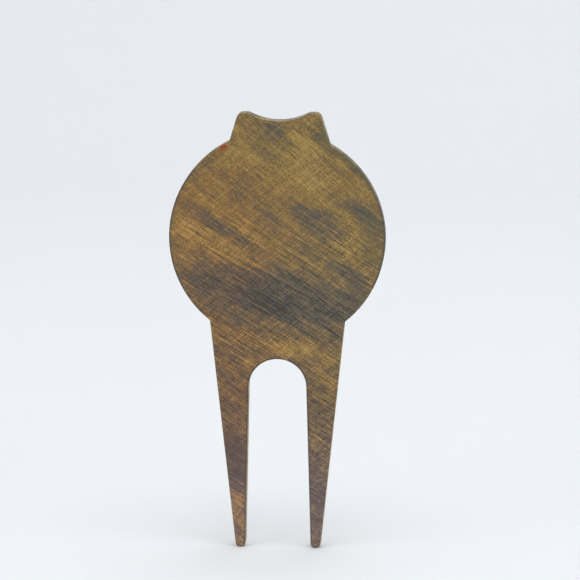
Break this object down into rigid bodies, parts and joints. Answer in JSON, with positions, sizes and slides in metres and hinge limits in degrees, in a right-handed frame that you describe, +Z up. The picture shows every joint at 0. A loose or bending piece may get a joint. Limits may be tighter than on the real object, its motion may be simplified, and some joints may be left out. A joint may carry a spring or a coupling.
{
  "type": "divot repair tool",
  "caption": "Flat struck divot repair tool: a round head with two ears and a rest notch, tapering into two prongs, with a magnetic ball marker seated in its front face.",
  "frame": {"origin": "level with the prong tips, at the middle of the width and of the thickness over plate and marker", "axes": "+Z up the tool from prong tips to ears, +Y out of the front face that carries the marker, X across the prongs; the plain face looks along -Y"},
  "size_m": [0.0364, 0.0028, 0.075],
  "materials": {
    "antique_brass": "brushed and antiqued",
    "red_enamel": "gloss enamel",
    "magnet_plating": "bright nickel plating",
    "clear_glue": "set epoxy",
    "plated_steel": "antique brass plating",
    "green_enamel": "gloss enamel",
    "blue_enamel": "gloss enamel"
  },
  "bodies": {
    "tool": {"fork_plate": "antique_brass", "head_ring_enamel": "red_enamel", "seat_magnet": "magnet_plating", "magnet_glue": "clear_glue"},
    "marker": {"marker_disc": "plated_steel", "marker_ground_enamel": "green_enamel", "marker_flag_enamel": "red_enamel", "marker_sky_enamel": "blue_enamel"}
  },
  "joints": [
    {"name": "marker_lift", "type": "slide", "parent": "tool", "child": "marker", "axis": [0, 1, 0], "range_m": [0, 0.012]}
  ]
}
